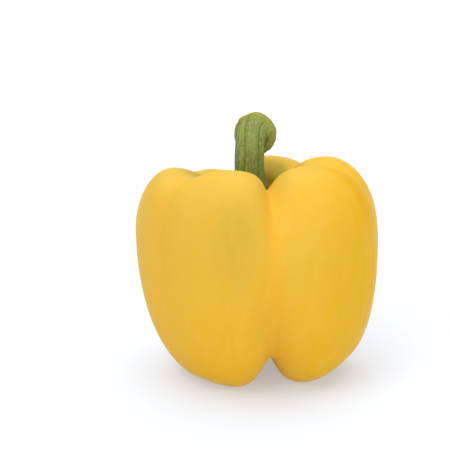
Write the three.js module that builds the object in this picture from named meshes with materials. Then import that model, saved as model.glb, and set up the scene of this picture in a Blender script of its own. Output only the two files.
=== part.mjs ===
// A blocky yellow bell pepper, as picked: the lobed pod, and the green stem with its calyx.
// Millimetres, +Z up. The pod stands on its lobes, and -Y is the side with the deepest groove.
import * as THREE from "three";

// The pod's shape, as meridians: lines from the navel underneath, out over the foot and the
// belly, up to the crest and down into the well that holds the calyx. Each is given as
// [distance from the pod's axis, height] at its foot, belly and crest, by its turn in degrees
// from -Y towards +X. below and above say how full it is on each side of the belly, and reach
// how far the lobes beside a groove stay full towards it. The two front lobes' feet have turns of
// their own, and the front groove has no turn, because it runs in an upright plane aside of the
// axis. Going round, each groove comes just before the lobe of the same place in the lists. A
// foot below 0 is pressed flat against the surface that the pod stands on.
const GROOVES = [
  { aside: 6.5, foot: [19, 11.2], belly: [41.6, 49], crest: [17, 71.8], below: 1.75, above: 2.1,
    reach: 3.8 },
  { turn: 81, foot: [24, 2.5], belly: [44.2, 46], crest: [26, 77], below: 2.4, above: 2.4 },
  { turn: 133, foot: [20, 7.5], belly: [41.5, 50], crest: [21.5, 71], below: 2, above: 2.3 },
  { turn: 198, foot: [20, 6.5], belly: [40, 50], crest: [22, 69], below: 1.9, above: 2.2 },
  { turn: 238, foot: [20, 5.5], belly: [41, 50], crest: [24.5, 69.6], below: 1.9, above: 2.2 },
  { turn: 306, foot: [23.5, 1.5], belly: [42.8, 49.5], crest: [25.5, 74.8], below: 1.8, above: 3.3 },
];
const LOBES = [
  { turn: 59, footTurn: 69, foot: [18, -0.8], belly: [45.5, 45.5], crest: [21, 79.2],
    below: 2.1, above: 2.5 },
  { turn: 109, foot: [24, 0.5], belly: [44.3, 49.5], crest: [26.8, 78.2], below: 2.5, above: 2.4 },
  { turn: 167, foot: [20, -0.8], belly: [43.2, 49.5], crest: [26, 74.4], below: 2, above: 2.6 },
  { turn: 218, foot: [21, 0.5], belly: [42.3, 49.5], crest: [25, 70.4], below: 2, above: 2.4 },
  { turn: 269, foot: [19, -0.8], belly: [43.5, 53.5], crest: [29.2, 75.4], below: 2, above: 1.95 },
  { turn: 337, footTurn: 329, foot: [13.5, -0.8], belly: [43.5, 48], crest: [23.5, 80.1],
    below: 2.3, above: 2.4 },
];
const USUAL_REACH = 2.2;
const ASIDE_SOFTNESS = 11; // the distance from the axis within which such a groove turns to it
const NAVEL_HEIGHT = 10.6; // the blossom end, drawn up between the feet
const WELL_FLOOR = [9.5, 63]; // radius and height of the flat floor under the calyx
const WELL_SHIFT = -1.8; // the stem's place along X, off the pod's axis
const STEEPEST_WALL = [0.35, 0.45]; // out and up, as shares of the way from floor to crest
const LIP_POWER = 2; // round, over the crest and down the well's wall
const CREASE_SOFTNESS = 0.1; // how round a groove's bottom is, as a share of half a lobe

// The calyx: a thin collar on the well's floor, with a blunt tooth at the end of each rib.
const RIBS = 6;
const CALYX = { radius: 9.6, tooth: 1, edge: 1.3, gap: 0.4 };

// The stem's centre line and its radius there. It rises from the calyx, bends back over the
// pod and swells to the knob where it was cut from the plant.
const STEM = [
  { at: [-1.8, 0, 66], radius: 7.6 },
  { at: [-1.9, 0, 68], radius: 6.3 },
  { at: [-2.1, 0, 70.5], radius: 5.6 },
  { at: [-2.4, 0, 74.5], radius: 5.2 },
  { at: [-2.5, 0.1, 79], radius: 5.1 },
  { at: [-2.4, 0.7, 82.5], radius: 5.1 },
  { at: [-2.2, 3.4, 85.7], radius: 5.1 },
  { at: [-1.7, 6.8, 86.5], radius: 5.5 },
  { at: [-0.8, 9.2, 86.4], radius: 7.1 },
  { at: [-0.4, 11.4, 86.2], radius: 7.8 },
  { at: [-0.2, 12.8, 86.1], radius: 7.3 },
];
const RIB_RISE = 0.06; // how far a rib stands out, as a share of the radius
const RIB_FADE = 0.6; // the share of that which is gone at the knob

// How finely the surfaces are split. The rows are those of a meridian's stretches in turn.
const COLUMNS = 8; // from a groove to the next lobe
const ROWS = { navel: 6, side: 11, shoulder: 11, lip: 7, wall: 5, floor: 2 };
const BELLY_ROW = ROWS.navel + ROWS.side;
const WALL_ROW = BELLY_ROW + ROWS.shoulder + ROWS.lip;
const FLOOR_ROW = WALL_ROW + ROWS.wall;
const STEM_SIDES = 36;
const STEM_STEPS = 22;

const FULL_TURN = 2 * Math.PI;
const { lerp, smoothstep, degToRad } = THREE.MathUtils;

const mix = (from, to, share) => from.map((value, i) => lerp(value, to[i], share));
const list = (count, make) => Array.from({ length: count }, (_, i) => make(i));

// A quarter of a superellipse in [radius, height], without its end point.
function quarter(from, to, leavesFlat, power, rows) {
  return list(rows, (i) => {
    const angle = ((i / rows) * Math.PI) / 2;
    const fast = Math.sin(angle) ** (2 / power);
    const slow = 1 - Math.cos(angle) ** (2 / power);
    const [out, up] = leavesFlat ? [fast, slow] : [slow, fast];
    return [lerp(from[0], to[0], out), lerp(from[1], to[1], up)];
  });
}

// A curve that is flat at both ends, without its end point.
function sway(from, to, rows) {
  return list(rows, (i) => {
    const share = i / rows;
    const eased = (1 - Math.cos(share * Math.PI)) / 2;
    return [lerp(from[0], to[0], share), lerp(from[1], to[1], eased)];
  });
}

// One meridian as [radius, height, share of WELL_SHIFT], from the navel to the well's centre.
function meridian({ foot, belly, crest, below, above }) {
  const wall = WELL_FLOOR.map((value, i) => lerp(value, crest[i], STEEPEST_WALL[i]));
  const centre = [0, WELL_FLOOR[1]];
  const line = [
    ...sway([0, NAVEL_HEIGHT], foot, ROWS.navel),
    ...quarter(foot, belly, true, below, ROWS.side),
    ...quarter(belly, crest, false, above, ROWS.shoulder),
    ...quarter(crest, wall, true, LIP_POWER, ROWS.lip),
    ...quarter(wall, WELL_FLOOR, false, LIP_POWER, ROWS.wall),
    ...sway(WELL_FLOOR, centre, ROWS.floor),
    centre,
  ];
  return line.map(([radius, height], row) => [radius, height, smoothstep(row, BELLY_ROW, WALL_ROW)]);
}

// A groove or lobe with its line, and the turn in radians at each of the line's points.
function placed(shape) {
  const line = meridian(shape);
  const { aside, turn, footTurn = turn, reach } = shape;
  const turns = line.map(([radius], row) => {
    if (aside) return Math.atan2(aside, Math.hypot(radius, ASIDE_SOFTNESS));
    return degToRad(lerp(footTurn, turn, smoothstep(row, ROWS.navel, BELLY_ROW)));
  });
  return { line, turns, reach };
}

// How much of the lobe's own line there is at a share of the way from a groove to it.
function swell(share, reach = USUAL_REACH) {
  const soft = CREASE_SOFTNESS;
  const eased = (Math.hypot(share, soft) - soft) / (Math.hypot(1, soft) - soft);
  return 1 - (1 - eased) ** reach;
}

// The pod's meridians at equal steps between grooves and lobes, each with its turns.
function podColumns() {
  const creases = GROOVES.map(placed);
  const ridges = LOBES.map(placed);
  const between = (crease, ridge, share) => {
    const weight = swell(share, crease.reach);
    return {
      turns: mix(crease.turns, ridge.turns, share),
      line: crease.line.map((point, row) => mix(point, ridge.line[row], weight)),
    };
  };
  return creases.flatMap((crease, n) => {
    const ridge = ridges[n];
    const next = { ...creases[(n + 1) % creases.length] };
    if (next.turns[0] < ridge.turns[0]) next.turns = next.turns.map((turn) => turn + FULL_TURN);
    return [
      ...list(COLUMNS, (i) => between(crease, ridge, i / COLUMNS)),
      ...list(COLUMNS, (i) => between(next, ridge, 1 - i / COLUMNS)),
    ];
  });
}

// A closed surface from rings of points, each ring seen from above running towards +X at the
// front, with a pole under the first ring and one over the last.
function closedRings(under, rings, over) {
  const sides = rings[0].length;
  const points = [under, ...rings.flat(), over];
  const lastRing = 1 + (rings.length - 1) * sides;
  const index = [];
  for (let i = 0; i < sides; i++) {
    const next = (i + 1) % sides;
    index.push(0, 1 + next, 1 + i);
    for (let start = 1; start < lastRing; start += sides) {
      const [a, b] = [start + i, start + next];
      index.push(a, b, b + sides, a, b + sides, a + sides);
    }
    index.push(lastRing + i, lastRing + next, points.length - 1);
  }
  const geometry = new THREE.BufferGeometry().setFromPoints(points);
  geometry.setIndex(index);
  geometry.computeVertexNormals();
  return geometry;
}

const COLUMN_LIST = podColumns();

function podGeometry() {
  const point = ({ turns, line }, row) => {
    const [radius, height, share] = line[row];
    const x = radius * Math.sin(turns[row]) + WELL_SHIFT * share;
    return new THREE.Vector3(x, -radius * Math.cos(turns[row]), Math.max(height, 0));
  };
  const top = COLUMN_LIST[0].line.length - 1;
  const rings = list(top - 1, (i) => COLUMN_LIST.map((column) => point(column, i + 1)));
  return closedRings(point(COLUMN_LIST[0], 0), rings, point(COLUMN_LIST[0], top));
}

// The height of the well's surface, at a distance and a turn from the stem's place.
function wellHeight(radius, turn) {
  const heightOn = ({ line }) => {
    let row = line.length - 1;
    while (line[row - 1][0] < radius) row--;
    const [inner, outer] = [line[row], line[row - 1]];
    return lerp(inner[1], outer[1], (radius - inner[0]) / (outer[0] - inner[0]));
  };
  const turnOf = ({ turns }) => turns[FLOOR_ROW];
  const start = turnOf(COLUMN_LIST[0]);
  const ahead = (angle) => (angle - start + 2 * FULL_TURN) % FULL_TURN;
  const found = COLUMN_LIST.findIndex((column) => turnOf(column) - start > ahead(turn));
  const n = found < 0 ? COLUMN_LIST.length : found;
  const [before, after] = [COLUMN_LIST[n - 1], COLUMN_LIST[n % COLUMN_LIST.length]];
  const width = (turnOf(after) - turnOf(before) + FULL_TURN) % FULL_TURN;
  const share = (ahead(turn) - turnOf(before) + start) / width;
  return lerp(heightOn(before), heightOn(after), share);
}

// The calyx's rings, from its underside on the well's floor round its edge to its top.
function calyxRings(turns) {
  const { radius, tooth, edge, gap } = CALYX;
  const outline = (turn) => radius + tooth * Math.abs(Math.cos((turn * RIBS) / 2)) ** 3;
  const ring = (share, lift) =>
    turns.map((turn) => {
      const out = outline(turn) * share;
      const height = wellHeight(out, turn) + gap + lift;
      return new THREE.Vector3(WELL_SHIFT + out * Math.sin(turn), -out * Math.cos(turn), height);
    });
  const under = [ring(0.45, 0), ring(0.8, 0), ring(1, 0)];
  const rim = [ring(1.02, edge / 2), ring(0.97, edge), ring(0.86, edge * 1.15)];
  return [...under, ...rim];
}

// The stem's rings, square to its centre line, with soft ribs that fade towards the knob.
function stemRings(turns, curve) {
  const last = STEM.length - 1;
  return list(STEM_STEPS + 1, (i) => {
    const share = i / STEM_STEPS;
    const stretch = Math.min(Math.floor(share * last), last - 1);
    const within = smoothstep(share * last - stretch, 0, 1);
    const radius = lerp(STEM[stretch].radius, STEM[stretch + 1].radius, within);
    const centre = curve.getPoint(share);
    const along = curve.getTangent(share);
    const side = new THREE.Vector3(1, 0, 0).addScaledVector(along, -along.x).normalize();
    const front = new THREE.Vector3().crossVectors(side, along);
    return turns.map((turn) => {
      const out = radius * (1 + RIB_RISE * (1 - RIB_FADE * share) * Math.cos(turn * RIBS));
      const [across, towards] = [out * Math.sin(turn), out * Math.cos(turn)];
      return centre.clone().addScaledVector(side, across).addScaledVector(front, towards);
    });
  });
}

function stemGeometry() {
  const turns = list(STEM_SIDES, (i) => (i / STEM_SIDES) * FULL_TURN);
  const curve = new THREE.CatmullRomCurve3(STEM.map(({ at }) => new THREE.Vector3(...at)));
  const under = new THREE.Vector3(WELL_SHIFT, 0, WELL_FLOOR[1] + CALYX.gap);
  const rings = [...calyxRings(turns), ...stemRings(turns, curve)];
  return closedRings(under, rings, curve.getPoint(1));
}

function namedMesh(name, geometry, color, roughness) {
  const material = new THREE.MeshStandardMaterial({ color, roughness, metalness: 0 });
  const mesh = new THREE.Mesh(geometry, material);
  mesh.name = name;
  return mesh;
}

const pepper = new THREE.Group();
pepper.add(namedMesh("pod", podGeometry(), 0xf2b92e, 0.35));
pepper.add(namedMesh("stem_and_calyx", stemGeometry(), 0x74893a, 0.75));

const box = new THREE.Box3().setFromObject(pepper);
const middle = box.getCenter(new THREE.Vector3());
pepper.position.set(-middle.x, -middle.y, -box.min.z);

export default pepper;
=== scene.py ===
"""The looks of a blocky yellow bell pepper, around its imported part, laid out as an add-on."""

import math

import bpy
from bpy.props import FloatProperty, FloatVectorProperty, IntProperty, PointerProperty
from mathutils import Euler, Matrix, Vector


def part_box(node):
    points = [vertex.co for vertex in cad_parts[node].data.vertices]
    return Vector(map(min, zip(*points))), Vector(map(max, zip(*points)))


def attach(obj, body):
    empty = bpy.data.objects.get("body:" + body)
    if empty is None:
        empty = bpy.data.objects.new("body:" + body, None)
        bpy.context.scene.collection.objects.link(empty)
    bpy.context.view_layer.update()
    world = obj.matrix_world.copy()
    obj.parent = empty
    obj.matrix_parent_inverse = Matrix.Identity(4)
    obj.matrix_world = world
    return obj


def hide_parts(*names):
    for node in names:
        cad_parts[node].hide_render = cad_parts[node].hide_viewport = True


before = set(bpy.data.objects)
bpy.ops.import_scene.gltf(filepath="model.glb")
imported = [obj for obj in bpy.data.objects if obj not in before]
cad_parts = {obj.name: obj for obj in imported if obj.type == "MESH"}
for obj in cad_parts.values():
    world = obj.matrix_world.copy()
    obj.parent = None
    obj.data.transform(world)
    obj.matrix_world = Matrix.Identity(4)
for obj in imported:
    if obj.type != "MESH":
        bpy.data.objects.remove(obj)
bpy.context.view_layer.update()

bl_info = {
    "name": "Bell pepper looks",
    "version": (1, 0, 0),
    "blender": (4, 5, 0),
    "location": "View3D > Sidebar > Pepper",
    "description": "Makes the pod, the stem with its calyx and the stage round the packed part",
    "category": "Object",
}

MM = 0.001

# The kinds of node used most
MATHS = "ShaderNodeMath"
VECTORS = "ShaderNodeVectorMath"
RANGE = "ShaderNodeMapRange"
NOISE = "ShaderNodeTexNoise"

# The pod's meridians in millimetres, as the part has them: [distance from the axis, height] at
# the foot, belly and crest, by the turn in degrees from -Y towards +X, with how full it is
# below and above the belly, and how far the lobes beside a groove stay full towards it. The
# front groove has no turn: it runs in a plane, aside of the axis. The two front lobes' feet
# have a turn of their own.
USUAL_REACH = 2.2
ASIDE_SOFTNESS = 11
GROOVES = [
    dict(
        aside=6.5,
        foot=(19, 11.2),
        belly=(41.6, 49),
        crest=(17, 71.8),
        below=1.75,
        above=2.1,
        reach=3.8,
    ),
    dict(turn=81, foot=(24, 2.5), belly=(44.2, 46), crest=(26, 77), below=2.4, above=2.4),
    dict(turn=133, foot=(20, 7.5), belly=(41.5, 50), crest=(21.5, 71), below=2, above=2.3),
    dict(turn=198, foot=(20, 6.5), belly=(40, 50), crest=(22, 69), below=1.9, above=2.2),
    dict(turn=238, foot=(20, 5.5), belly=(41, 50), crest=(24.5, 69.6), below=1.9, above=2.2),
    dict(turn=306, foot=(23.5, 1.5), belly=(42.8, 49.5), crest=(25.5, 74.8), below=1.8, above=3.3),
]
LOBES = [
    dict(
        turn=59,
        foot_turn=69,
        foot=(18, -0.8),
        belly=(45.5, 45.5),
        crest=(21, 79.2),
        below=2.1,
        above=2.5,
    ),
    dict(turn=109, foot=(24, 0.5), belly=(44.3, 49.5), crest=(26.8, 78.2), below=2.5, above=2.4),
    dict(turn=167, foot=(20, -0.8), belly=(43.2, 49.5), crest=(26, 74.4), below=2, above=2.6),
    dict(turn=218, foot=(21, 0.5), belly=(42.3, 49.5), crest=(25, 70.4), below=2, above=2.4),
    dict(turn=269, foot=(19, -0.8), belly=(43.5, 53.5), crest=(29.2, 75.4), below=2, above=1.95),
    dict(
        turn=337,
        foot_turn=329,
        foot=(13.5, -0.8),
        belly=(43.5, 48),
        crest=(23.5, 80.1),
        below=2.3,
        above=2.4,
    ),
]
NAVEL_HEIGHT = 10.6
WELL_FLOOR = (9.5, 63)
WELL_SHIFT = -1.8
# How far the well's steepest ring lies from its floor towards the crest, outwards and upwards
STEEPEST_WALL = (0.35, 0.45)
LIP_POWER = 2

# The rows of faces in each stretch of a meridian, and the row where a stretch starts
ROWS = {"navel": 16, "side": 36, "shoulder": 34, "lip": 22, "wall": 14, "floor": 6}
BELLY_ROW = ROWS["navel"] + ROWS["side"]
LIP_ROW = BELLY_ROW + ROWS["shoulder"]
WALL_ROW = LIP_ROW + ROWS["lip"]
FLOOR_ROW = WALL_ROW + ROWS["wall"]
TOP_ROW = FLOOR_ROW + ROWS["floor"]

# The skin's colours: the middle of the green cast on the front left lobe, the shares of the way
# up a meridian between which the skin turns green towards the stem, and the painted shade in deep
# yellow beside the right shoulder's groove, by the cosine of the turn, the share of the way up and
# X
UNRIPE_PATCH = (-7 * MM, -41 * MM, 61 * MM)
GREEN_START = (LIP_ROW - 1) / TOP_ROW
GREEN_END = (LIP_ROW + WALL_ROW) / 2 / TOP_ROW
SHOULDER_SHADE_FRONT, SHOULDER_SHADE_BACK = (0.54, 0.42), (0.14, 0.28)
SHOULDER_SHADE_RISE, SHOULDER_SHADE_SIDE = (0.42, 0.54), (16 * MM, 28 * MM)
SHOULDER_SHADE_MOST = 0.9

# The stem's centre line and its radius there, in millimetres, from the calyx to the cut end.
STEM = [
    ((-1.8, 0, 66), 7.6),
    ((-1.9, 0, 68), 6.3),
    ((-2.1, 0, 70.5), 5.6),
    ((-2.4, 0, 74.5), 5.2),
    ((-2.5, 0.1, 79), 5.1),
    ((-2.4, 0.7, 82.5), 5.1),
    ((-2.2, 3.4, 85.7), 5.1),
    ((-1.7, 6.8, 86.5), 5.5),
    ((-0.8, 9.2, 86.4), 7.1),
    ((-0.4, 11.4, 86.2), 7.8),
    ((-0.2, 12.8, 86.1), 7.3),
]
# The shares of the stem's grid where the calyx ends and where the cut end starts, and the
# height in millimetres from which the calyx is dropped onto the pod
CALYX_END = 0.26
CUT_START = 0.86
FOOT_HEIGHT = 75

# The photograph's camera: where the point on the pod's axis at mid height falls, in pixels of
# a square frame, and how wide the pod is there and in fact.
FRAME_PIXELS = 450
AIM_PIXEL = (257, 264)
AIM_HEIGHT = 40
POD_PIXELS = 240.7
POD_WIDTH = 88
SENSOR = 36

# Half the table's side in metres, and the strengths of its own light and of the room's
TABLE_HALF = 6.0
TABLE_GLOW = 0.36
STUDIO_GLOW = 0.31
# Far soft lights: azimuth (0 is the camera's side, +90 the right), elevation and width in
# degrees, and power
LIGHTS = {
    "front": (0, 12, 60, 0.92),
    "front_left": (-42, 45, 40, 1.1),
    "front_right": (52, 18, 50, 0.75),
    "overhead": (180, 78, 80, 2.1),
    "behind": (170, 30, 70, 0.4),
}


def linear(code):
    """A colour given as an sRGB hex value, as linear red, green, blue and alpha."""
    parts = [int(code[i : i + 2], 16) / 255 for i in (1, 3, 5)]
    return [c / 12.92 if c <= 0.04045 else ((c + 0.055) / 1.055) ** 2.4 for c in parts] + [1.0]


def socket_of(sockets, key):
    """The socket at a place, or the one of that name that the node's settings leave in use."""
    if isinstance(key, int):
        return sockets[key]
    return next(s for s in sockets if s.enabled and s.name == key)


def add(tree, kind, inputs=(), out=0, **settings):
    """Adds a node with its settings and links, and returns one of its outputs."""
    node = tree.nodes.new(kind)
    for name, value in settings.items():
        setattr(node, name, value)
    pairs = inputs.items() if isinstance(inputs, dict) else enumerate(inputs)
    for key, value in pairs:
        socket = socket_of(node.inputs, key)
        if isinstance(value, bpy.types.NodeSocket):
            tree.links.new(value, socket)
        else:
            socket.default_value = value
    return socket_of(node.outputs, out) if len(node.outputs) else node


def also(output, key):
    """Another output of the node that an output belongs to."""
    return socket_of(output.node.outputs, key)


def linked(name, data):
    """A new object of this data in the scene."""
    item = bpy.data.objects.new(name, data)
    bpy.context.scene.collection.objects.link(item)
    return item


def new_tree(name, sizes):
    """A geometry tree with a mesh in and out and the named inputs; returns it and its inputs."""
    tree = bpy.data.node_groups.new(name, "GeometryNodeTree")
    tree.interface.new_socket("Geometry", in_out="INPUT", socket_type="NodeSocketGeometry")
    tree.interface.new_socket("Geometry", in_out="OUTPUT", socket_type="NodeSocketGeometry")
    for label, kind in sizes.items():
        tree.interface.new_socket(label, in_out="INPUT", socket_type="NodeSocket" + kind)
    inside = add(tree, "NodeGroupInput").node
    return tree, {s.name: s for s in inside.outputs if s.name}


def end_tree(tree, shape, material):
    """Ends the tree: smooth shading, no instances, and the material on all faces."""
    smooth = add(tree, "GeometryNodeSetShadeSmooth", [shape])
    real = add(tree, "GeometryNodeRealizeInstances", [smooth])
    done = add(tree, "GeometryNodeSetMaterial", {0: real, "Material": material})
    add(tree, "NodeGroupOutput", [done])


def grown(name, tree, start, values):
    """A plain mesh object holding what the tree makes of a starting mesh with these inputs."""
    maker = linked(name + "_maker", start)
    modifier = maker.modifiers.new(tree.name, "NODES")
    modifier.node_group = tree
    for item in tree.interface.items_tree:
        if item.in_out == "INPUT" and item.name in values:
            modifier[item.identifier] = values[item.name]
    graph = bpy.context.evaluated_depsgraph_get()
    made = bpy.data.meshes.new_from_object(
        maker.evaluated_get(graph), preserve_all_data_layers=True, depsgraph=graph
    )
    if len(made.polygons) == 0:
        raise RuntimeError(f"{tree.name} made no faces")
    made.name = name
    bpy.data.objects.remove(maker)
    return linked(name, made)


def hand_over(piece, node):
    """Puts a finished piece in the frame, in the place of its CAD node."""
    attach(piece, "root")
    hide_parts(node)


def quarter(start, end, leaves_flat, power, rows):
    """A quarter of a superellipse in [radius, height], without its end point."""
    points = []
    for i in range(rows):
        angle = i / rows * math.pi / 2
        fast = math.sin(angle) ** (2 / power)
        slow = 1 - math.cos(angle) ** (2 / power)
        out, up = (fast, slow) if leaves_flat else (slow, fast)
        points.append((start[0] + (end[0] - start[0]) * out, start[1] + (end[1] - start[1]) * up))
    return points


def sway(start, end, rows):
    """A curve that is flat at both ends, without its end point."""
    points = []
    for i in range(rows):
        eased = (1 - math.cos(i / rows * math.pi)) / 2
        radius = start[0] + (end[0] - start[0]) * i / rows
        points.append((radius, start[1] + (end[1] - start[1]) * eased))
    return points


def smoothstep(value, low, high):
    """From 0 at low to 1 at high, flat at both ends."""
    share = min(max((value - low) / (high - low), 0), 1)
    return share * share * (3 - 2 * share)


def meridian(shape):
    """One meridian as (radius, share of the well's shift, height) in metres, navel to well."""
    wall = [f + (c - f) * s for f, c, s in zip(WELL_FLOOR, shape["crest"], STEEPEST_WALL)]
    centre = (0, WELL_FLOOR[1])
    line = [
        *sway((0, NAVEL_HEIGHT), shape["foot"], ROWS["navel"]),
        *quarter(shape["foot"], shape["belly"], True, shape["below"], ROWS["side"]),
        *quarter(shape["belly"], shape["crest"], False, shape["above"], ROWS["shoulder"]),
        *quarter(shape["crest"], wall, True, LIP_POWER, ROWS["lip"]),
        *quarter(wall, WELL_FLOOR, False, LIP_POWER, ROWS["wall"]),
        *sway(WELL_FLOOR, centre, ROWS["floor"]),
        centre,
    ]
    return [(r * MM, smoothstep(i, BELLY_ROW, WALL_ROW), z * MM) for i, (r, z) in enumerate(line)]


def turn_at(shape, row, radius):
    """The turn in radians of a meridian's point, at its row and distance in millimetres."""
    if "aside" in shape:
        return math.atan2(shape["aside"], math.hypot(radius, ASIDE_SOFTNESS))
    start = shape.get("foot_turn", shape["turn"])
    share = smoothstep(row, ROWS["navel"], BELLY_ROW)
    return math.radians(start + (shape["turn"] - start) * share)


def pattern_mesh():
    """The meridians as loose points, groove and lobe in turn, each with its turn and reach."""
    shapes = [shape for pair in zip(GROOVES, LOBES) for shape in pair]
    points, turns, reaches = [], [], []
    for n, shape in enumerate([*shapes, shapes[0]]):
        line = meridian(shape)
        lap = 2 * math.pi if n == len(shapes) else 0
        points += line
        turns += [turn_at(shape, row, point[0] / MM) + lap for row, point in enumerate(line)]
        reaches += [shape.get("reach", USUAL_REACH)] * len(line)
    mesh = bpy.data.meshes.new("meridians")
    mesh.from_pydata(points, [], [])
    mesh.attributes.new("turn", "FLOAT", "POINT").data.foreach_set("value", turns)
    mesh.attributes.new("reach", "FLOAT", "POINT").data.foreach_set("value", reaches)
    return mesh


def grid_shares(tree, across, along):
    """A unit grid, and each vertex's share of the way across and along it."""
    sizes = {"Size X": 1.0, "Size Y": 1.0, "Vertices X": across, "Vertices Y": along}
    grid = add(tree, "GeometryNodeMeshGrid", sizes)
    x = add(tree, "ShaderNodeSeparateXYZ", [add(tree, "GeometryNodeInputPosition")])
    shares = [add(tree, MATHS, [s, 0.5], operation="ADD") for s in (x, also(x, "Y"))]
    return grid, *shares


def pod_tree(material):
    """The pod: a grid whose columns run between the meridians, rounded from each to the next."""
    tree, size = new_tree(
        "Pod from meridians",
        {
            "Spaces": "Int",
            "Rows": "Int",
            "Columns": "Int",
            "Crease Softness": "Float",
            "Well Shift": "Float",
            "Swell Height": "Float",
            "Swell Size": "Float",
            "Wrinkle Height": "Float",
            "Wrinkles": "Float",
        },
    )
    around_count = add(tree, MATHS, [size["Columns"], 1], operation="ADD")
    grid, around, up = grid_shares(tree, around_count, size["Rows"])

    # Which two meridians a vertex lies between, and where
    space = add(tree, MATHS, [around, size["Spaces"]], operation="MULTIPLY")
    last = add(tree, MATHS, [size["Spaces"], 1], operation="SUBTRACT")
    whole = add(tree, MATHS, [space], operation="FLOOR")
    line = add(tree, MATHS, [whole, last], operation="MINIMUM")
    share = add(tree, MATHS, [space, line], operation="SUBTRACT")
    top_row = add(tree, MATHS, [size["Rows"], 1], operation="SUBTRACT")
    exact_row = add(tree, MATHS, [up, top_row], operation="MULTIPLY")
    row = add(tree, MATHS, [exact_row], operation="ROUND")
    before = add(tree, MATHS, [line, size["Rows"], row], operation="MULTIPLY_ADD")
    after = add(tree, MATHS, [before, size["Rows"]], operation="ADD")

    def sampled(value, kind):
        """The value on both meridians, in the vertex's row."""
        pair = []
        for index in (before, after):
            inputs = {"Geometry": size["Geometry"], "Value": value, "Index": index}
            pair.append(add(tree, "GeometryNodeSampleIndex", inputs, data_type=kind))
        return pair

    turn_field = add(tree, "GeometryNodeInputNamedAttribute", ["turn"], data_type="FLOAT")
    reach_field = add(tree, "GeometryNodeInputNamedAttribute", ["reach"], data_type="FLOAT")
    points = sampled(add(tree, "GeometryNodeInputPosition"), "FLOAT_VECTOR")
    turns = sampled(turn_field, "FLOAT")
    reaches = sampled(reach_field, "FLOAT")

    # How much of the lobe's own line there is, from 0 in a groove to 1 on the lobe
    odd = add(tree, MATHS, [line, 2], operation="MODULO")
    signed = add(tree, MATHS, [odd, share], operation="SUBTRACT")
    from_groove = add(tree, MATHS, [signed], operation="ABSOLUTE")
    reach = add(tree, "ShaderNodeMix", {"Factor": odd, "A": reaches[0], "B": reaches[1]})
    soft = size["Crease Softness"]
    soft_squared = add(tree, MATHS, [soft, soft], operation="MULTIPLY")

    def rounded(distance):
        """The distance from a groove, with the crease at 0 made round."""
        squared = add(tree, MATHS, [distance, distance, soft_squared], operation="MULTIPLY_ADD")
        root = add(tree, MATHS, [squared, 0.5], operation="POWER")
        return add(tree, MATHS, [root, soft], operation="SUBTRACT")

    eased = add(tree, MATHS, [rounded(from_groove), rounded(1.0)], operation="DIVIDE")
    rest = add(tree, MATHS, [1.0, eased], operation="SUBTRACT", use_clamp=True)
    lost = add(tree, MATHS, [rest, reach], operation="POWER")
    ridge = add(tree, MATHS, [1.0, lost], operation="SUBTRACT")
    signed_weight = add(tree, MATHS, [odd, ridge], operation="SUBTRACT")
    weight = add(tree, MATHS, [signed_weight], operation="ABSOLUTE")

    # From distance, turn and height to a place
    mixed = {"Factor": weight, "A": points[0], "B": points[1]}
    point = add(tree, "ShaderNodeMix", mixed, out="Result", data_type="VECTOR")
    turn = add(tree, "ShaderNodeMix", {"Factor": share, "A": turns[0], "B": turns[1]})
    radius = add(tree, "ShaderNodeSeparateXYZ", [point])
    sine = add(tree, MATHS, [turn], operation="SINE")
    cosine = add(tree, MATHS, [turn], operation="COSINE")
    shift = add(tree, MATHS, [also(radius, "Y"), size["Well Shift"]], operation="MULTIPLY")
    x = add(tree, MATHS, [radius, sine, shift], operation="MULTIPLY_ADD")
    out_y = add(tree, MATHS, [radius, cosine], operation="MULTIPLY")
    y = add(tree, MATHS, [out_y, -1.0], operation="MULTIPLY")
    z = add(tree, MATHS, [also(radius, "Z"), 0.0], operation="MAXIMUM")
    place = add(tree, "ShaderNodeCombineXYZ", [x, y, z])
    shape = grid
    for name, value in (("ridge", ridge), ("up", up), ("sine", sine), ("cosine", cosine)):
        stored = {"Geometry": shape, "Name": name, "Value": value}
        shape = add(tree, "GeometryNodeStoreNamedAttribute", stored, data_type="FLOAT")
    shape = add(tree, "GeometryNodeSetPosition", {"Geometry": shape, "Position": place})
    shape = add(tree, "GeometryNodeMergeByDistance", {"Geometry": shape, "Distance": 1e-6})

    # Slow swells in the flesh, none on the pressed feet
    spot = add(tree, "GeometryNodeInputPosition")
    noise = {"Vector": spot, "Scale": size["Swell Size"], "Detail": 1.5, "Roughness": 0.4}
    swell = add(tree, NOISE, noise)
    swell = add(tree, MATHS, [swell, 0.5], operation="SUBTRACT")
    swell = add(tree, MATHS, [swell, size["Swell Height"]], operation="MULTIPLY")
    height = also(add(tree, "ShaderNodeSeparateXYZ", [spot]), "Z")
    clear = {"Value": height, "From Max": 4 * MM}
    clear = add(tree, RANGE, clear, interpolation_type="SMOOTHSTEP")
    swell = add(tree, MATHS, [swell, clear], operation="MULTIPLY")

    # Fine creases that run down the well's wall to the calyx
    named = "GeometryNodeInputNamedAttribute"
    ring = {k: add(tree, named, [k], data_type="FLOAT") for k in ("sine", "cosine", "up")}
    circle = add(tree, "ShaderNodeCombineXYZ", [ring["sine"], ring["cosine"], 0.0])
    noise = {"Vector": circle, "Scale": size["Wrinkles"], "Detail": 2.0}
    crease = add(tree, NOISE, noise)
    crease = add(tree, MATHS, [crease, 0.5], operation="SUBTRACT")
    near = {"Value": ring["up"], "From Min": LIP_ROW / TOP_ROW, "From Max": FLOOR_ROW / TOP_ROW}
    near = add(tree, RANGE, near, interpolation_type="SMOOTHSTEP")
    crease = add(tree, MATHS, [crease, near], operation="MULTIPLY")
    crease = add(tree, MATHS, [crease, size["Wrinkle Height"]], operation="MULTIPLY")

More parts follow.
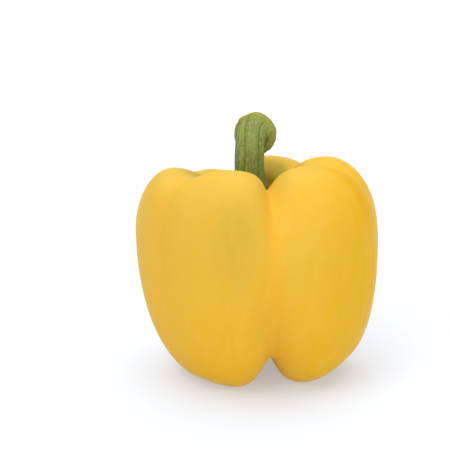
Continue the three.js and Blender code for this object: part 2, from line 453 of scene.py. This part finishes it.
    lift = add(tree, MATHS, [swell, crease], operation="ADD")
    normal = add(tree, "GeometryNodeInputNormal")
    offset = {0: normal, "Scale": lift}
    offset = add(tree, VECTORS, offset, out="Vector", operation="SCALE")
    shape = add(tree, "GeometryNodeSetPosition", {"Geometry": shape, "Offset": offset})
    end_tree(tree, shape, material)
    return tree


def float_curve(tree, value, points):
    """A drawn curve through the points, read at the value."""
    output = add(tree, "ShaderNodeFloatCurve", {"Value": value})
    mapping = output.node.mapping
    curve = mapping.curves[0]
    curve.points[0].location = points[0]
    curve.points[1].location = points[-1]
    for point in points[1:-1]:
        curve.points.new(*point)
    mapping.extend = "HORIZONTAL"
    mapping.update()
    return output


def stem_tree(material):
    """The stem: a grid wrapped from under the calyx, up along the path and over the cut end."""
    tree, size = new_tree(
        "Stem along its path",
        {
            "Path": "Object",
            "Pod": "Object",
            "Foot": "Vector",
            "Sides": "Int",
            "Steps": "Int",
            "Ribs": "Int",
            "Rib Turn": "Float",
            "Rib Rise": "Float",
            "Fibre Rise": "Float",
            "Calyx Radius": "Float",
            "Calyx Tooth": "Float",
            "Calyx Raggedness": "Float",
            "Calyx Edge": "Float",
            "Calyx Gap": "Float",
        },
    )
    around_count = add(tree, MATHS, [size["Sides"], 1], operation="ADD")
    grid, around, up = grid_shares(tree, around_count, size["Steps"])
    turn = add(tree, MATHS, [around, 2 * math.pi], operation="MULTIPLY")
    sine = add(tree, MATHS, [turn], operation="SINE")
    cosine = add(tree, MATHS, [turn], operation="COSINE")
    in_calyx = {"Value": up, "From Min": 0.0, "From Max": CALYX_END}
    in_calyx = add(tree, RANGE, in_calyx)
    on_path = {"Value": up, "From Min": CALYX_END, "From Max": CUT_START}
    on_path = add(tree, RANGE, on_path)
    in_cut = {"Value": up, "From Min": CUT_START, "From Max": 1.0}
    in_cut = add(tree, RANGE, in_cut)

    # Ribs, as a wave round the stem with a rib at Rib Turn
    rib_turn = add(tree, MATHS, [turn, size["Rib Turn"]], operation="SUBTRACT")
    rib_phase = add(tree, MATHS, [rib_turn, size["Ribs"]], operation="MULTIPLY")
    half_phase = add(tree, MATHS, [rib_phase, 0.5], operation="MULTIPLY")
    half_wave = add(tree, MATHS, [half_phase], operation="COSINE")
    half_wave = add(tree, MATHS, [half_wave], operation="ABSOLUTE")
    tooth = add(tree, MATHS, [half_wave, 7.0], operation="POWER")

    # The calyx, a thin ragged collar that lies on the well's floor. It runs out under itself,
    # round its edge and back in over its top
    outline = [tooth, size["Calyx Tooth"], size["Calyx Radius"]]
    outline = add(tree, MATHS, outline, operation="MULTIPLY_ADD")
    circle = add(tree, "ShaderNodeCombineXYZ", [sine, cosine, 0.0])
    ragged = add(tree, NOISE, {"Vector": circle, "Scale": 2.3, "Detail": 3.0})
    ragged = add(tree, MATHS, [ragged, 0.5], operation="SUBTRACT")
    ragged = [ragged, size["Calyx Raggedness"], outline]
    outline = add(tree, MATHS, ragged, operation="MULTIPLY_ADD")
    reach_points = [(0, 0), (0.3, 0.85), (0.45, 1), (0.52, 1), (0.6, 0.97), (0.8, 0.86), (1, 0.76)]
    reach = float_curve(tree, in_calyx, reach_points)
    calyx_radius = add(tree, MATHS, [outline, reach], operation="MULTIPLY")
    lift_points = [(0, 0), (0.42, 0), (0.5, 0.2), (0.58, 0.42), (0.8, 0.58), (1, 0.9)]
    lift = float_curve(tree, in_calyx, lift_points)
    forwards = add(tree, MATHS, [cosine, -1.0], operation="MULTIPLY")
    ray = add(tree, "ShaderNodeCombineXYZ", [sine, forwards, 0.0])
    out = {0: ray, "Scale": calyx_radius}
    out = add(tree, VECTORS, out, out="Vector", operation="SCALE")
    above = add(tree, VECTORS, [size["Foot"], out], operation="ADD")
    pod = add(tree, "GeometryNodeObjectInfo", {"Object": size["Pod"]}, out="Geometry")
    cast = {
        "Target Geometry": pod,
        "Source Position": above,
        "Ray Direction": (0.0, 0.0, -1.0),
        "Ray Length": 100 * MM,
    }
    floor = add(tree, "GeometryNodeRaycast", cast, out="Hit Position")
    rise = add(tree, MATHS, [lift, size["Calyx Edge"]], operation="MULTIPLY")
    rise = add(tree, MATHS, [rise, size["Calyx Gap"]], operation="ADD")
    upward = add(tree, "ShaderNodeCombineXYZ", {"Z": rise})
    calyx = add(tree, VECTORS, [floor, upward], operation="ADD")

    # The shaft, square to its path, with ribs that fade towards its swollen end
    path = add(tree, "GeometryNodeObjectInfo", {"Object": size["Path"]}, out="Geometry")
    radius_field = add(tree, "GeometryNodeInputRadius")
    sample = {"Curves": path, "Value": radius_field, "Factor": on_path}
    radius = add(tree, "GeometryNodeSampleCurve", sample, mode="FACTOR", use_all_curves=True)
    centre, along = also(radius, "Position"), also(radius, "Tangent")
    lean = add(tree, VECTORS, [along, (1.0, 0.0, 0.0)], out="Value", operation="DOT_PRODUCT")
    lean = add(tree, MATHS, [lean, -1.0], operation="MULTIPLY")
    leant = {0: along, "Scale": lean}
    leant = add(tree, VECTORS, leant, out="Vector", operation="SCALE")
    side = add(tree, VECTORS, [leant, (1.0, 0.0, 0.0)], operation="ADD")
    side = add(tree, VECTORS, [side], operation="NORMALIZE")
    front = add(tree, VECTORS, [side, along], operation="CROSS_PRODUCT")
    fade = {"Value": on_path, "To Min": 1.0, "To Max": 0.15}
    fade = add(tree, RANGE, fade)
    profile = add(tree, MATHS, [half_wave, 2.0, -1.0], operation="MULTIPLY_ADD")
    rib_rise = add(tree, MATHS, [profile, size["Rib Rise"]], operation="MULTIPLY")
    swelled = add(tree, MATHS, [rib_rise, fade, 1.0], operation="MULTIPLY_ADD")
    rim_points = [(0, 1), (0.08, 0.985), (0.16, 0.93), (0.3, 0.8), (1, 0)]
    rim = float_curve(tree, in_cut, rim_points)
    shaft_radius = add(tree, MATHS, [radius, swelled], operation="MULTIPLY")
    shaft_radius = add(tree, MATHS, [shaft_radius, rim], operation="MULTIPLY")
    parts = []
    for axis, share in ((side, sine), (front, cosine)):
        length = add(tree, MATHS, [shaft_radius, share], operation="MULTIPLY")
        scaled = {0: axis, "Scale": length}
        parts.append(add(tree, VECTORS, scaled, out="Vector", operation="SCALE"))
    shaft = add(tree, VECTORS, [centre, parts[0]], operation="ADD")
    shaft = add(tree, VECTORS, [shaft, parts[1]], operation="ADD")

    # The cut end's relief along the path: a raised rim, a ring and a sunken pith
    rim_rise = [(0, 0.5), (0.08, 0.62), (0.16, 0.68), (0.26, 0.64)]
    ring_rise = [(0.4, 0.6), (0.5, 0.64), (0.62, 0.56), (1, 0.42)]
    bulge = float_curve(tree, in_cut, rim_rise + ring_rise)
    bulge = add(tree, MATHS, [bulge, 0.5], operation="SUBTRACT")
    bulge = add(tree, MATHS, [bulge, 3 * MM], operation="MULTIPLY")
    pushed = {0: along, "Scale": bulge}
    pushed = add(tree, VECTORS, pushed, out="Vector", operation="SCALE")
    shaft = add(tree, VECTORS, [shaft, pushed], operation="ADD")

    # From the calyx over into the shaft
    joined = {"Value": up, "From Min": CALYX_END * 0.82, "From Max": CALYX_END * 1.15}
    joined = add(tree, RANGE, joined, interpolation_type="SMOOTHSTEP")
    place = {"Factor": joined, "A": calyx, "B": shaft}
    place = add(tree, "ShaderNodeMix", place, out="Result", data_type="VECTOR")
    shape = grid
    for name, value in (("rib", half_wave), ("cut", in_cut), ("along", up)):
        stored = {"Geometry": shape, "Name": name, "Value": value}
        shape = add(tree, "GeometryNodeStoreNamedAttribute", stored, data_type="FLOAT")
    wrap = add(tree, "ShaderNodeCombineXYZ", [sine, cosine, up])
    stored = {"Geometry": shape, "Name": "wrap", "Value": wrap}
    shape = add(tree, "GeometryNodeStoreNamedAttribute", stored, data_type="FLOAT_VECTOR")
    shape = add(tree, "GeometryNodeSetPosition", {"Geometry": shape, "Position": place})
    shape = add(tree, "GeometryNodeMergeByDistance", {"Geometry": shape, "Distance": 1e-6})

    # Fibres under the skin, which run along the stem
    wrap = add(tree, "GeometryNodeInputNamedAttribute", ["wrap"], data_type="FLOAT_VECTOR")
    stretched = add(tree, VECTORS, [wrap, (5.0, 5.0, 4.0)], operation="MULTIPLY")
    fibre = add(tree, NOISE, {"Vector": stretched, "Scale": 1.0, "Detail": 4.0})
    fibre = add(tree, MATHS, [fibre, 0.5], operation="SUBTRACT")
    fibre = add(tree, MATHS, [fibre, size["Fibre Rise"]], operation="MULTIPLY")
    height = add(tree, "GeometryNodeInputNamedAttribute", ["along"], data_type="FLOAT")
    above_floor = {"Value": height, "From Min": CALYX_END * 0.45, "From Max": CALYX_END * 0.6}
    above_floor = add(tree, RANGE, above_floor)
    fibre = add(tree, MATHS, [fibre, above_floor], operation="MULTIPLY")
    offset = {0: add(tree, "GeometryNodeInputNormal"), "Scale": fibre}
    offset = add(tree, VECTORS, offset, out="Vector", operation="SCALE")
    shape = add(tree, "GeometryNodeSetPosition", {"Geometry": shape, "Offset": offset})
    end_tree(tree, shape, material)
    return tree


def new_material(name):
    """A material with an empty tree but for its shader, with the shader's output joined."""
    material = bpy.data.materials.new(name)
    material.use_nodes = True
    tree = material.node_tree
    tree.nodes.clear()
    shader = add(tree, "ShaderNodeBsdfPrincipled")
    add(tree, "ShaderNodeOutputMaterial", {"Surface": shader})
    return material, tree, shader.node


def blend(tree, factor, under, over):
    """A colour over another, as far as the factor says."""
    inputs = {"Factor": factor, "A": under, "B": over}
    return add(tree, "ShaderNodeMix", inputs, out="Result", data_type="RGBA")


def ripe_pepper_skin(colours):
    """Ripe sweet pepper skin: a smooth waxy film over wet flesh. The film, which is the coat,
    shines softly, and light goes a little way in; the grooves' orange is painted bounce light."""
    material, tree, shader = new_material("ripe_pepper_skin")
    place = add(tree, "ShaderNodeTexCoord", out="Object")
    ridge = add(tree, "ShaderNodeAttribute", out="Fac", attribute_name="ridge")
    up = add(tree, "ShaderNodeAttribute", out="Fac", attribute_name="up")

    # Paler towards the shoulders and deeper at the feet, a painted sheen from the light above,
    # and a slow drift of the colour, in bands about a centimetre wide that run up the lobes
    across = add(tree, "ShaderNodeSeparateXYZ", [place])
    depth, height = also(across, "Y"), also(across, "Z")
    painted_sheen = {"Value": height, "From Min": 8 * MM, "From Max": 76 * MM, "To Max": 0.9}
    painted_sheen = add(tree, RANGE, painted_sheen)
    banded = add(tree, VECTORS, [place, (1.0, 1.0, 0.3)], operation="MULTIPLY")
    drift = {"Vector": banded, "Scale": 1 / (13 * MM), "Detail": 2.0}
    drift = add(tree, NOISE, drift)
    drift = {"Value": drift, "From Min": 0.32, "From Max": 0.68}
    drift = add(tree, RANGE, drift)
    ripe = blend(tree, painted_sheen, colours["low"], colours["skin"])
    drift = add(tree, MATHS, [drift, 0.5], operation="MULTIPLY")
    colour = blend(tree, drift, ripe, colours["deep"])

    # Deeper and more saturated towards the right side, seen from the front
    rightwards = {"Value": across, "From Min": 8 * MM, "From Max": 42 * MM, "To Max": 0.85}
    rightwards = add(tree, RANGE, rightwards, interpolation_type="SMOOTHSTEP")
    colour = blend(tree, rightwards, colour, colours["ripest"])

    # Painted orange glow of light bounced between the lobes, in the grooves
    painted_groove_glow = {"Value": ridge, "From Min": 0.0, "From Max": 0.3, "To Min": 0.22, "To Max": 0.0}
    painted_groove_glow = add(tree, RANGE, painted_groove_glow, interpolation_type="SMOOTHSTEP")
    colour = blend(tree, painted_groove_glow, colour, colours["groove"])

    # Painted shade in deep yellow on the right shoulder, beside its groove
    facing = add(tree, "ShaderNodeAttribute", out="Fac", attribute_name="cosine")
    sides = (facing, SHOULDER_SHADE_BACK), (facing, SHOULDER_SHADE_FRONT), (up, SHOULDER_SHADE_RISE), (across, SHOULDER_SHADE_SIDE)
    gold = SHOULDER_SHADE_MOST
    for value, (none, full) in sides:
        share = {"Value": value, "From Min": none, "From Max": full}
        share = add(tree, RANGE, share, interpolation_type="SMOOTHSTEP")
        gold = add(tree, MATHS, [gold, share], operation="MULTIPLY")
    colour = blend(tree, gold, colour, colours["gold"])

    # Green that hasn't ripened yet: a streaky cast on the front left lobe
    from_patch = add(tree, VECTORS, [place, UNRIPE_PATCH], operation="SUBTRACT")
    long = add(tree, VECTORS, [from_patch, (1.0, 1.0, 0.5)], operation="MULTIPLY")
    away = add(tree, VECTORS, [long], out="Value", operation="LENGTH")
    close = {"Value": away, "From Min": 0.0, "From Max": 14 * MM, "To Min": 0.28, "To Max": 0.0}
    close = add(tree, RANGE, close, interpolation_type="SMOOTHSTEP")
    streak = add(tree, VECTORS, [place, (1.0, 1.0, 0.2)], operation="MULTIPLY")
    streak = {"Vector": streak, "Scale": 1 / (3 * MM), "Detail": 3.0}
    streak = add(tree, NOISE, streak)
    streak = {"Value": streak, "From Min": 0.35, "From Max": 0.65, "To Min": 0.4, "To Max": 1.4}
    streak = add(tree, RANGE, streak)
    close = add(tree, MATHS, [close, streak], operation="MULTIPLY")
    colour = blend(tree, close, colour, colours["unripe"])

    # Pale mottling all over, along the same streaks
    mottle = {"Value": streak, "From Min": 0.4, "From Max": 1.4, "To Max": 0.14}
    mottle = add(tree, RANGE, mottle)
    colour = blend(tree, mottle, colour, colours["pale"])

    # Green in the well towards the stem, from higher up at the back and lower on the right
    leaning = add(tree, MATHS, [depth, 0.8, up], operation="MULTIPLY_ADD")
    riper = {"Value": across, "From Min": 12 * MM, "From Max": 18 * MM, "To Max": 0.07}
    riper = add(tree, RANGE, riper)
    leaning = add(tree, MATHS, [leaning, riper], operation="SUBTRACT")
    inward = {"Value": leaning, "From Min": GREEN_START, "From Max": GREEN_END, "To Max": 0.55}
    inward = add(tree, RANGE, inward, interpolation_type="SMOOTHSTEP")
    colour = blend(tree, inward, colour, colours["unripe"])
    tree.links.new(colour, shader.inputs["Base Color"])

    # The skin's cells, drawn three times as coarse as the real 0.1 mm to show at all
    cells = add(tree, "ShaderNodeTexVoronoi", {"Vector": place, "Scale": 1 / (0.35 * MM)})
    film = add(tree, NOISE, {"Vector": place, "Scale": 1 / (5 * MM), "Detail": 3.0})
    gloss = {"Value": film, "From Min": 0.3, "From Max": 0.7, "To Min": 0.38, "To Max": 0.48}
    gloss = add(tree, RANGE, gloss)
    tree.links.new(gloss, shader.inputs["Roughness"])
    bump = {"Strength": 0.12, "Distance": 0.04 * MM, "Height": cells}
    bump = add(tree, "ShaderNodeBump", bump)
    bump = {"Strength": 0.4, "Distance": 0.15 * MM, "Height": film, "Normal": bump}
    bump = add(tree, "ShaderNodeBump", bump)
    tree.links.new(bump, shader.inputs["Normal"])
    shader.inputs["IOR"].default_value = 1.45
    shader.inputs["Subsurface Weight"].default_value = 0.3
    shader.inputs["Subsurface Radius"].default_value = (1.0, 0.55, 0.12)
    shader.inputs["Subsurface Scale"].default_value = 4 * MM
    shader.inputs["Specular IOR Level"].default_value = 0.01
    shader.inputs["Coat Weight"].default_value = 0.12
    shader.inputs["Coat Roughness"].default_value = 0.28
    shader.inputs["Coat IOR"].default_value = 1.45
    return material


def green_stem_rind(colours):
    """Green pepper stem: dull, fibrous and finely furred, streaked along its length, with the
    pale wet pith, the ring of bundles and the green rind in rings on its cut end."""
    material, tree, shader = new_material("green_stem_rind")
    wrap = add(tree, "ShaderNodeAttribute", out="Vector", attribute_name="wrap")
    rib = add(tree, "ShaderNodeAttribute", out="Fac", attribute_name="rib")
    cut = add(tree, "ShaderNodeAttribute", out="Fac", attribute_name="cut")
    along = add(tree, "ShaderNodeAttribute", out="Fac", attribute_name="along")
    place = add(tree, "ShaderNodeTexCoord", out="Object")

    # Streaks about half a millimetre wide and several long
    stretched = add(tree, VECTORS, [wrap, (9.0, 9.0, 9.0)], operation="MULTIPLY")
    streak = {"Vector": stretched, "Scale": 1.0, "Detail": 5.0, "Roughness": 0.65}
    streak = add(tree, NOISE, streak)
    streak = {"Value": streak, "From Min": 0.36, "From Max": 0.64}
    streak = add(tree, RANGE, streak)
    colour = blend(tree, streak, colours["rind_dark"], colours["rind_light"])

    # Down and corky specks, under a millimetre across, pale and dark
    speck = {"Vector": place, "Scale": 1 / (1.1 * MM), "Detail": 3.0, "Roughness": 0.7}
    speck = add(tree, NOISE, speck)
    pale = {"Value": speck, "From Min": 0.52, "From Max": 0.68, "To Max": 0.45}
    colour = blend(tree, add(tree, RANGE, pale), colour, colours["down"])
    dark = {"Value": speck, "From Min": 0.48, "From Max": 0.34, "To Max": 0.5}
    colour = blend(tree, add(tree, RANGE, dark), colour, colours["dark_rind_and_rib_shade"])

    # Painted shade in the furrows between the ribs, and grey cork along the ribs' crests
    painted_furrow_shade = {"Value": rib, "From Min": 0.0, "From Max": 0.35, "To Min": 0.55, "To Max": 0.0}
    painted_furrow_shade = add(tree, RANGE, painted_furrow_shade, interpolation_type="SMOOTHSTEP")
    colour = blend(tree, painted_furrow_shade, colour, colours["dark_rind_and_rib_shade"])
    crest = {"Value": rib, "From Min": 0.93, "From Max": 0.99, "To Max": 0.4}
    crest = add(tree, RANGE, crest)
    colour = blend(tree, crest, colour, colours["cork"])

    # Painted shade where the stem leaves the calyx; painted yellow pod bounce on the swollen end
    low = {"Value": along, "From Min": 0.24, "From Max": 0.36, "To Min": 0.6, "To Max": 0.0}
    low = add(tree, RANGE, low, interpolation_type="SMOOTHSTEP")
    colour = blend(tree, low, colour, colours["rind_deep"])
    # Painted yellow bounce light from the pod on the swollen end
    swollen = {"Value": along, "From Min": 0.74, "From Max": 0.8, "To Max": 0.7}
    swollen = add(tree, RANGE, swollen, interpolation_type="SMOOTHSTEP")
    colour = blend(tree, swollen, colour, colours["swollen"])

    # The cut end, in rings from the rind to the pith
    rings = add(tree, "ShaderNodeValToRGB", {"Fac": cut})
    ramp = rings.node.color_ramp
    stops = [
        (0.0, "rind_light"),
        (0.1, "dark_rind_and_rib_shade"),
        (0.17, "cut_pale"),
        (0.34, "cut_pale"),
        (0.42, "bundle"),
        (0.5, "cut_pale"),
        (1.0, "pith"),
    ]
    for position, _ in stops[1:-1]:
        ramp.elements.new(position)
    for element, (position, name) in zip(ramp.elements, stops):
        element.position = position
        element.color = colours[name]
    dots = add(tree, "ShaderNodeTexVoronoi", {"Vector": place, "Scale": 1 / (0.9 * MM)})
    dots = {"Value": dots, "From Min": 0.1, "From Max": 0.55, "To Max": 0.45}
    face = blend(tree, add(tree, RANGE, dots), rings, colours["cut_pale"])
    on_face = add(tree, RANGE, {"Value": cut, "From Min": 0.02, "From Max": 0.1})
    colour = blend(tree, on_face, colour, face)
    tree.links.new(colour, shader.inputs["Base Color"])

    # Relief of the streaks and of the down, and a duller finish where the rind is light
    down = {"Vector": place, "Scale": 1 / (0.5 * MM), "Detail": 3.0}
    down = add(tree, NOISE, down)
    bump = add(tree, "ShaderNodeBump", {"Strength": 0.4, "Distance": 0.15 * MM, "Height": streak})
    bump = {"Strength": 0.35, "Distance": 0.08 * MM, "Height": down, "Normal": bump}
    bump = add(tree, "ShaderNodeBump", bump)
    tree.links.new(bump, shader.inputs["Normal"])
    dull = add(tree, RANGE, {"Value": streak, "To Min": 0.55, "To Max": 0.75})
    tree.links.new(dull, shader.inputs["Roughness"])
    shader.inputs["IOR"].default_value = 1.4
    shader.inputs["Subsurface Weight"].default_value = 0.1
    shader.inputs["Subsurface Radius"].default_value = (0.6, 1.0, 0.3)
    shader.inputs["Subsurface Scale"].default_value = 1.5 * MM
    shader.inputs["Specular IOR Level"].default_value = 0.25
    shader.inputs["Sheen Weight"].default_value = 0.06
    shader.inputs["Sheen Roughness"].default_value = 0.45
    return material


def lit_opal_acrylic(colour):
    """A sheet of opal acrylic lit from below, as on a product table: even, matt and white, so
    that shadows stay light."""
    material, tree, shader = new_material("lit_opal_acrylic")
    place = add(tree, "ShaderNodeTexCoord", out="Object")
    mottle = add(tree, NOISE, {"Vector": place, "Scale": 1 / (60 * MM)})
    faint = add(tree, RANGE, {"Value": mottle, "To Min": 0.0, "To Max": 0.04})
    tree.links.new(blend(tree, faint, colour, (0.7, 0.7, 0.7, 1.0)), shader.inputs["Base Color"])
    shader.inputs["Roughness"].default_value = 0.95
    shader.inputs["Specular IOR Level"].default_value = 0.1
    shader.inputs["Emission Color"].default_value = linear("#EEF5FF")
    shader.inputs["Emission Strength"].default_value = TABLE_GLOW
    return material


def length_property(name, description, default):
    """A length that a user can change, in metres."""
    return FloatProperty(
        name=name, description=description, default=default, subtype="DISTANCE", unit="LENGTH"
    )


def colour_property(name, code):
    """A colour that a user can change, given as an sRGB hex value."""
    return FloatVectorProperty(
        name=name,
        description=f"Colour of: {name.lower()}",
        subtype="COLOR",
        size=4,
        min=0,
        max=1,
        default=linear(code),
    )


def colours_in(settings):
    """The colours of a group of settings, by name."""
    names = [p.identifier for p in settings.bl_rna.properties if p.subtype == "COLOR"]
    return {name: getattr(settings, name) for name in names}


class PodSettings(bpy.types.PropertyGroup):
    """Sizes and colours of the pod."""

    columns: IntProperty(
        name="Columns", description="Faces round the pod", default=288, min=48, max=400
    )
    crease_softness: FloatProperty(
        name="Crease softness",
        description="How round a groove's bottom is, as a share of half a lobe",
        default=0.1,
        min=0.01,
        max=0.5,
        subtype="FACTOR",
    )
    swell_height: length_property(
        "Swell height", "How far the slow swells in the flesh rise and fall", 0.6 * MM
    )
    swell_size: length_property("Swell size", "Width of one slow swell", 24 * MM)
    wrinkle_height: length_property(
        "Wrinkle height", "Depth of the fine creases that run down to the calyx", 0.5 * MM
    )
    axis: FloatVectorProperty(
        name="Axis",
        description="Where the pod's own axis stands in the frame",
        subtype="TRANSLATION",
        unit="LENGTH",
    )
    # The shoulders' and the feet's colours are the two ends of a painted sheen, paler towards the
    # top
    skin: colour_property("Shoulders under painted sheen", "#D6AF45")
    low: colour_property("Skin of the feet", "#E0AA1C")
    deep: colour_property("Deeper skin", "#D8A527")
    # The deeper colour laid on the right side, seen from the front
    ripest: colour_property("Deeper right side", "#DCA812")
    pale: colour_property("Pale mottling", "#E4BC5C")
    # The grooves' colour is a painted glow of light bounced between the lobes
    groove: colour_property("Groove", "#EFA42A")
    # Painted shade in the valley of the right shoulder's shallow groove
    gold: colour_property("Painted shade beside the right groove", "#D7A000")
    unripe: colour_property("Unripe cast", "#8F8A1E")


class StemSettings(bpy.types.PropertyGroup):
    """Sizes and colours of the stem and its calyx."""

    ribs: IntProperty(name="Ribs", description="Ribs round the stem", default=6, min=3, max=9)
    rib_rise: FloatProperty(
        name="Rib rise",
        description="How far a rib stands out, as a share of the stem's radius",
        default=0.06,
        subtype="FACTOR",
    )
    fibre_rise: length_property("Fibre rise", "How far the fibres show through the rind", 1 * MM)
    calyx_radius: length_property(
        "Calyx radius", "Radius of the collar between its teeth", 9.6 * MM
    )
    rind_light: colour_property("Light rind", "#8C9644")
    rind_dark: colour_property("Dark rind", "#697526")
    # Dark rind for the specks and the cut end's rim, and painted shade in the furrows
    dark_rind_and_rib_shade: colour_property("Dark rind and shade between ribs", "#414D14")
    # Painted shade on the stem's foot, down in the well
    rind_deep: colour_property("Painted shade near the calyx", "#55702F")
    down: colour_property("Down", "#9FA378")
    cork: colour_property("Cork on the ribs", "#7B7753")
    # The swollen end's colour is painted yellow bounce light from the pod
    swollen: colour_property("Painted bounce from the pod", "#959226")
    cut_pale: colour_property("Cut flesh", "#B4AF75")
    bundle: colour_property("Ring of bundles", "#7A8535")
    pith: colour_property("Pith", "#C0BA8F")


class StageSettings(bpy.types.PropertyGroup):
    """Camera, lights and floor."""

    elevation: FloatProperty(
        name="Elevation",
        description="How far the camera looks down",
        default=math.radians(17),
        subtype="ANGLE",
        unit="ROTATION",
    )
    distance: length_property("Distance", "From the camera to the middle of the pod", 500 * MM)
    table: colour_property("Table", "#C1C5CB")


class PEPPER_OT_pod(bpy.types.Operator):
    """Grow the pod from its meridians, in the place of the part's pod"""

    bl_idname = "pepper.pod"
    bl_label = "Pod"

    def execute(self, context):
        settings = context.scene.pepper_pod
        skin = ripe_pepper_skin(colours_in(settings))
        values = {
            "Spaces": 2 * len(LOBES),
            "Rows": TOP_ROW + 1,
            "Columns": settings.columns,
            "Crease Softness": settings.crease_softness,
            "Well Shift": WELL_SHIFT * MM,
            "Swell Height": settings.swell_height,
            "Swell Size": 1 / settings.swell_size,
            "Wrinkle Height": settings.wrinkle_height,
            "Wrinkles": 9.0,
        }
        pod = grown("pepper_pod", pod_tree(skin), pattern_mesh(), values)
        low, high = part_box("pod")
        corners = [Vector(corner) for corner in pod.bound_box]
        own_middle = (corners[0] + corners[6]) / 2
        axis = (low + high) / 2 - own_middle
        axis.z = 0
        pod.data.transform(Matrix.Translation(axis))
        settings.axis = axis
        hand_over(pod, "pod")
        return {"FINISHED"}


class PEPPER_OT_stem(bpy.types.Operator):
    """Wrap the stem along its path and seat its calyx on the pod"""

    bl_idname = "pepper.stem"
    bl_label = "Stem and calyx"

    def execute(self, context):
        settings = context.scene.pepper_stem
        axis = Vector(context.scene.pepper_pod.axis)
        rind = green_stem_rind(colours_in(settings))
        path = stem_path(axis)
        values = {
            "Path": path,
            "Pod": bpy.data.objects["pepper_pod"],
            "Foot": axis + Vector((WELL_SHIFT, 0, FOOT_HEIGHT)) * MM,
            "Sides": 192,
            "Steps": 260,
            "Ribs": settings.ribs,
            "Rib Turn": math.radians(10),
            "Rib Rise": settings.rib_rise,
            "Fibre Rise": settings.fibre_rise,
            "Calyx Radius": settings.calyx_radius,
            "Calyx Tooth": 2.2 * MM,
            "Calyx Raggedness": 4 * MM,
            "Calyx Edge": 2.9 * MM,
            "Calyx Gap": 0.3 * MM,
        }
        stem = grown("pepper_stem", stem_tree(rind), bpy.data.meshes.new("empty"), values)
        bpy.data.objects.remove(path)
        hand_over(stem, "stem_and_calyx")
        return {"FINISHED"}


def stem_path(axis):
    """The stem's centre line as a smooth curve that carries its radius."""
    curve = bpy.data.curves.new("stem_path", "CURVE")
    curve.dimensions = "3D"
    curve.resolution_u = 24
    spline = curve.splines.new("BEZIER")
    spline.bezier_points.add(len(STEM) - 1)
    for point, (place, radius) in zip(spline.bezier_points, STEM):
        point.co = axis + Vector(place) * MM
        point.radius = radius * MM
        point.handle_left_type = point.handle_right_type = "AUTO"
    return linked("stem_path", curve)


def soft_box(name, azimuth, elevation, width, power):
    """A white light as wide as the angle says, in a direction, all in degrees."""
    light = bpy.data.lights.new(name, "SUN")
    light.angle = math.radians(width)
    light.energy = power
    turn, rise = math.radians(azimuth), math.radians(elevation)
    across = math.cos(rise)
    away = Vector((across * math.sin(turn), -across * math.cos(turn), math.sin(rise)))
    lamp = linked(name, light)
    lamp.location = away
    lamp.rotation_euler = away.to_track_quat("Z", "Y").to_euler()


class PEPPER_OT_stage(bpy.types.Operator):
    """Set the white table, the soft lights and the camera"""

    bl_idname = "pepper.stage"
    bl_label = "Stage"

    def execute(self, context):
        settings = context.scene.pepper_stage
        aim = Vector(context.scene.pepper_pod.axis) + Vector((0, 0, AIM_HEIGHT * MM))
        self.floor(settings)
        self.lights(context)
        self.camera(context, settings, aim)
        return {"FINISHED"}

    def floor(self, settings):
        mesh = bpy.data.meshes.new("table")
        signs = ((-1, -1), (1, -1), (1, 1), (-1, 1))
        corners = [(x * TABLE_HALF, y * TABLE_HALF, 0) for x, y in signs]
        mesh.from_pydata(corners, [], [(0, 1, 2, 3)])
        mesh.materials.append(lit_opal_acrylic(settings.table))
        floor = linked("table", mesh)

    def lights(self, context):
        for name, numbers in LIGHTS.items():
            soft_box(name, *numbers)
        world = bpy.data.worlds.new("studio")
        world.use_nodes = True
        background = world.node_tree.nodes["Background"]
        background.inputs["Color"].default_value = linear("#F4F8FF")
        background.inputs["Strength"].default_value = STUDIO_GLOW
        context.scene.world = world
        context.scene.view_settings.view_transform = "Standard"

    def camera(self, context, settings, aim):
        focal = POD_PIXELS * settings.distance / (POD_WIDTH * MM)
        middle = FRAME_PIXELS / 2
        left = math.atan((AIM_PIXEL[0] - middle) / focal)
        down = settings.elevation - math.atan((AIM_PIXEL[1] - middle) / focal)
        data = bpy.data.cameras.new("camera")
        data.sensor_width = SENSOR
        data.lens = SENSOR * focal / FRAME_PIXELS
        data.clip_start = 0.01
        data.clip_end = 50
        camera = linked("camera", data)
        back = Vector((0, -math.cos(settings.elevation), math.sin(settings.elevation)))
        camera.location = aim + back * settings.distance
        camera.rotation_euler = Euler((math.pi / 2 - down, 0, left))
        context.scene.camera = camera


class PEPPER_PT_looks(bpy.types.Panel):
    """The pepper's pieces and their settings"""

    bl_idname = "PEPPER_PT_looks"
    bl_label = "Bell pepper"
    bl_space_type = "VIEW_3D"
    bl_region_type = "UI"
    bl_category = "Pepper"

    def draw(self, context):
        for operator, settings in PIECES:
            box = self.layout.box()
            box.operator(operator)
            group = getattr(context.scene, settings)
            for name in group.__annotations__:
                box.prop(group, name)


PIECES = [
    ("pepper.pod", "pepper_pod"),
    ("pepper.stem", "pepper_stem"),
    ("pepper.stage", "pepper_stage"),
]
CLASSES = [
    PodSettings,
    StemSettings,
    StageSettings,
    PEPPER_OT_pod,
    PEPPER_OT_stem,
    PEPPER_OT_stage,
    PEPPER_PT_looks,
]


def register():
    for cls in CLASSES:
        bpy.utils.register_class(cls)
    bpy.types.Scene.pepper_pod = PointerProperty(type=PodSettings)
    bpy.types.Scene.pepper_stem = PointerProperty(type=StemSettings)
    bpy.types.Scene.pepper_stage = PointerProperty(type=StageSettings)


def unregister():
    for _, settings in PIECES:
        delattr(bpy.types.Scene, settings)
    for cls in reversed(CLASSES):
        bpy.utils.unregister_class(cls)


def main():
    register()
    bpy.ops.pepper.pod()
    bpy.ops.pepper.stem()
    bpy.ops.pepper.stage()


if __name__ == "__main__":
    main()
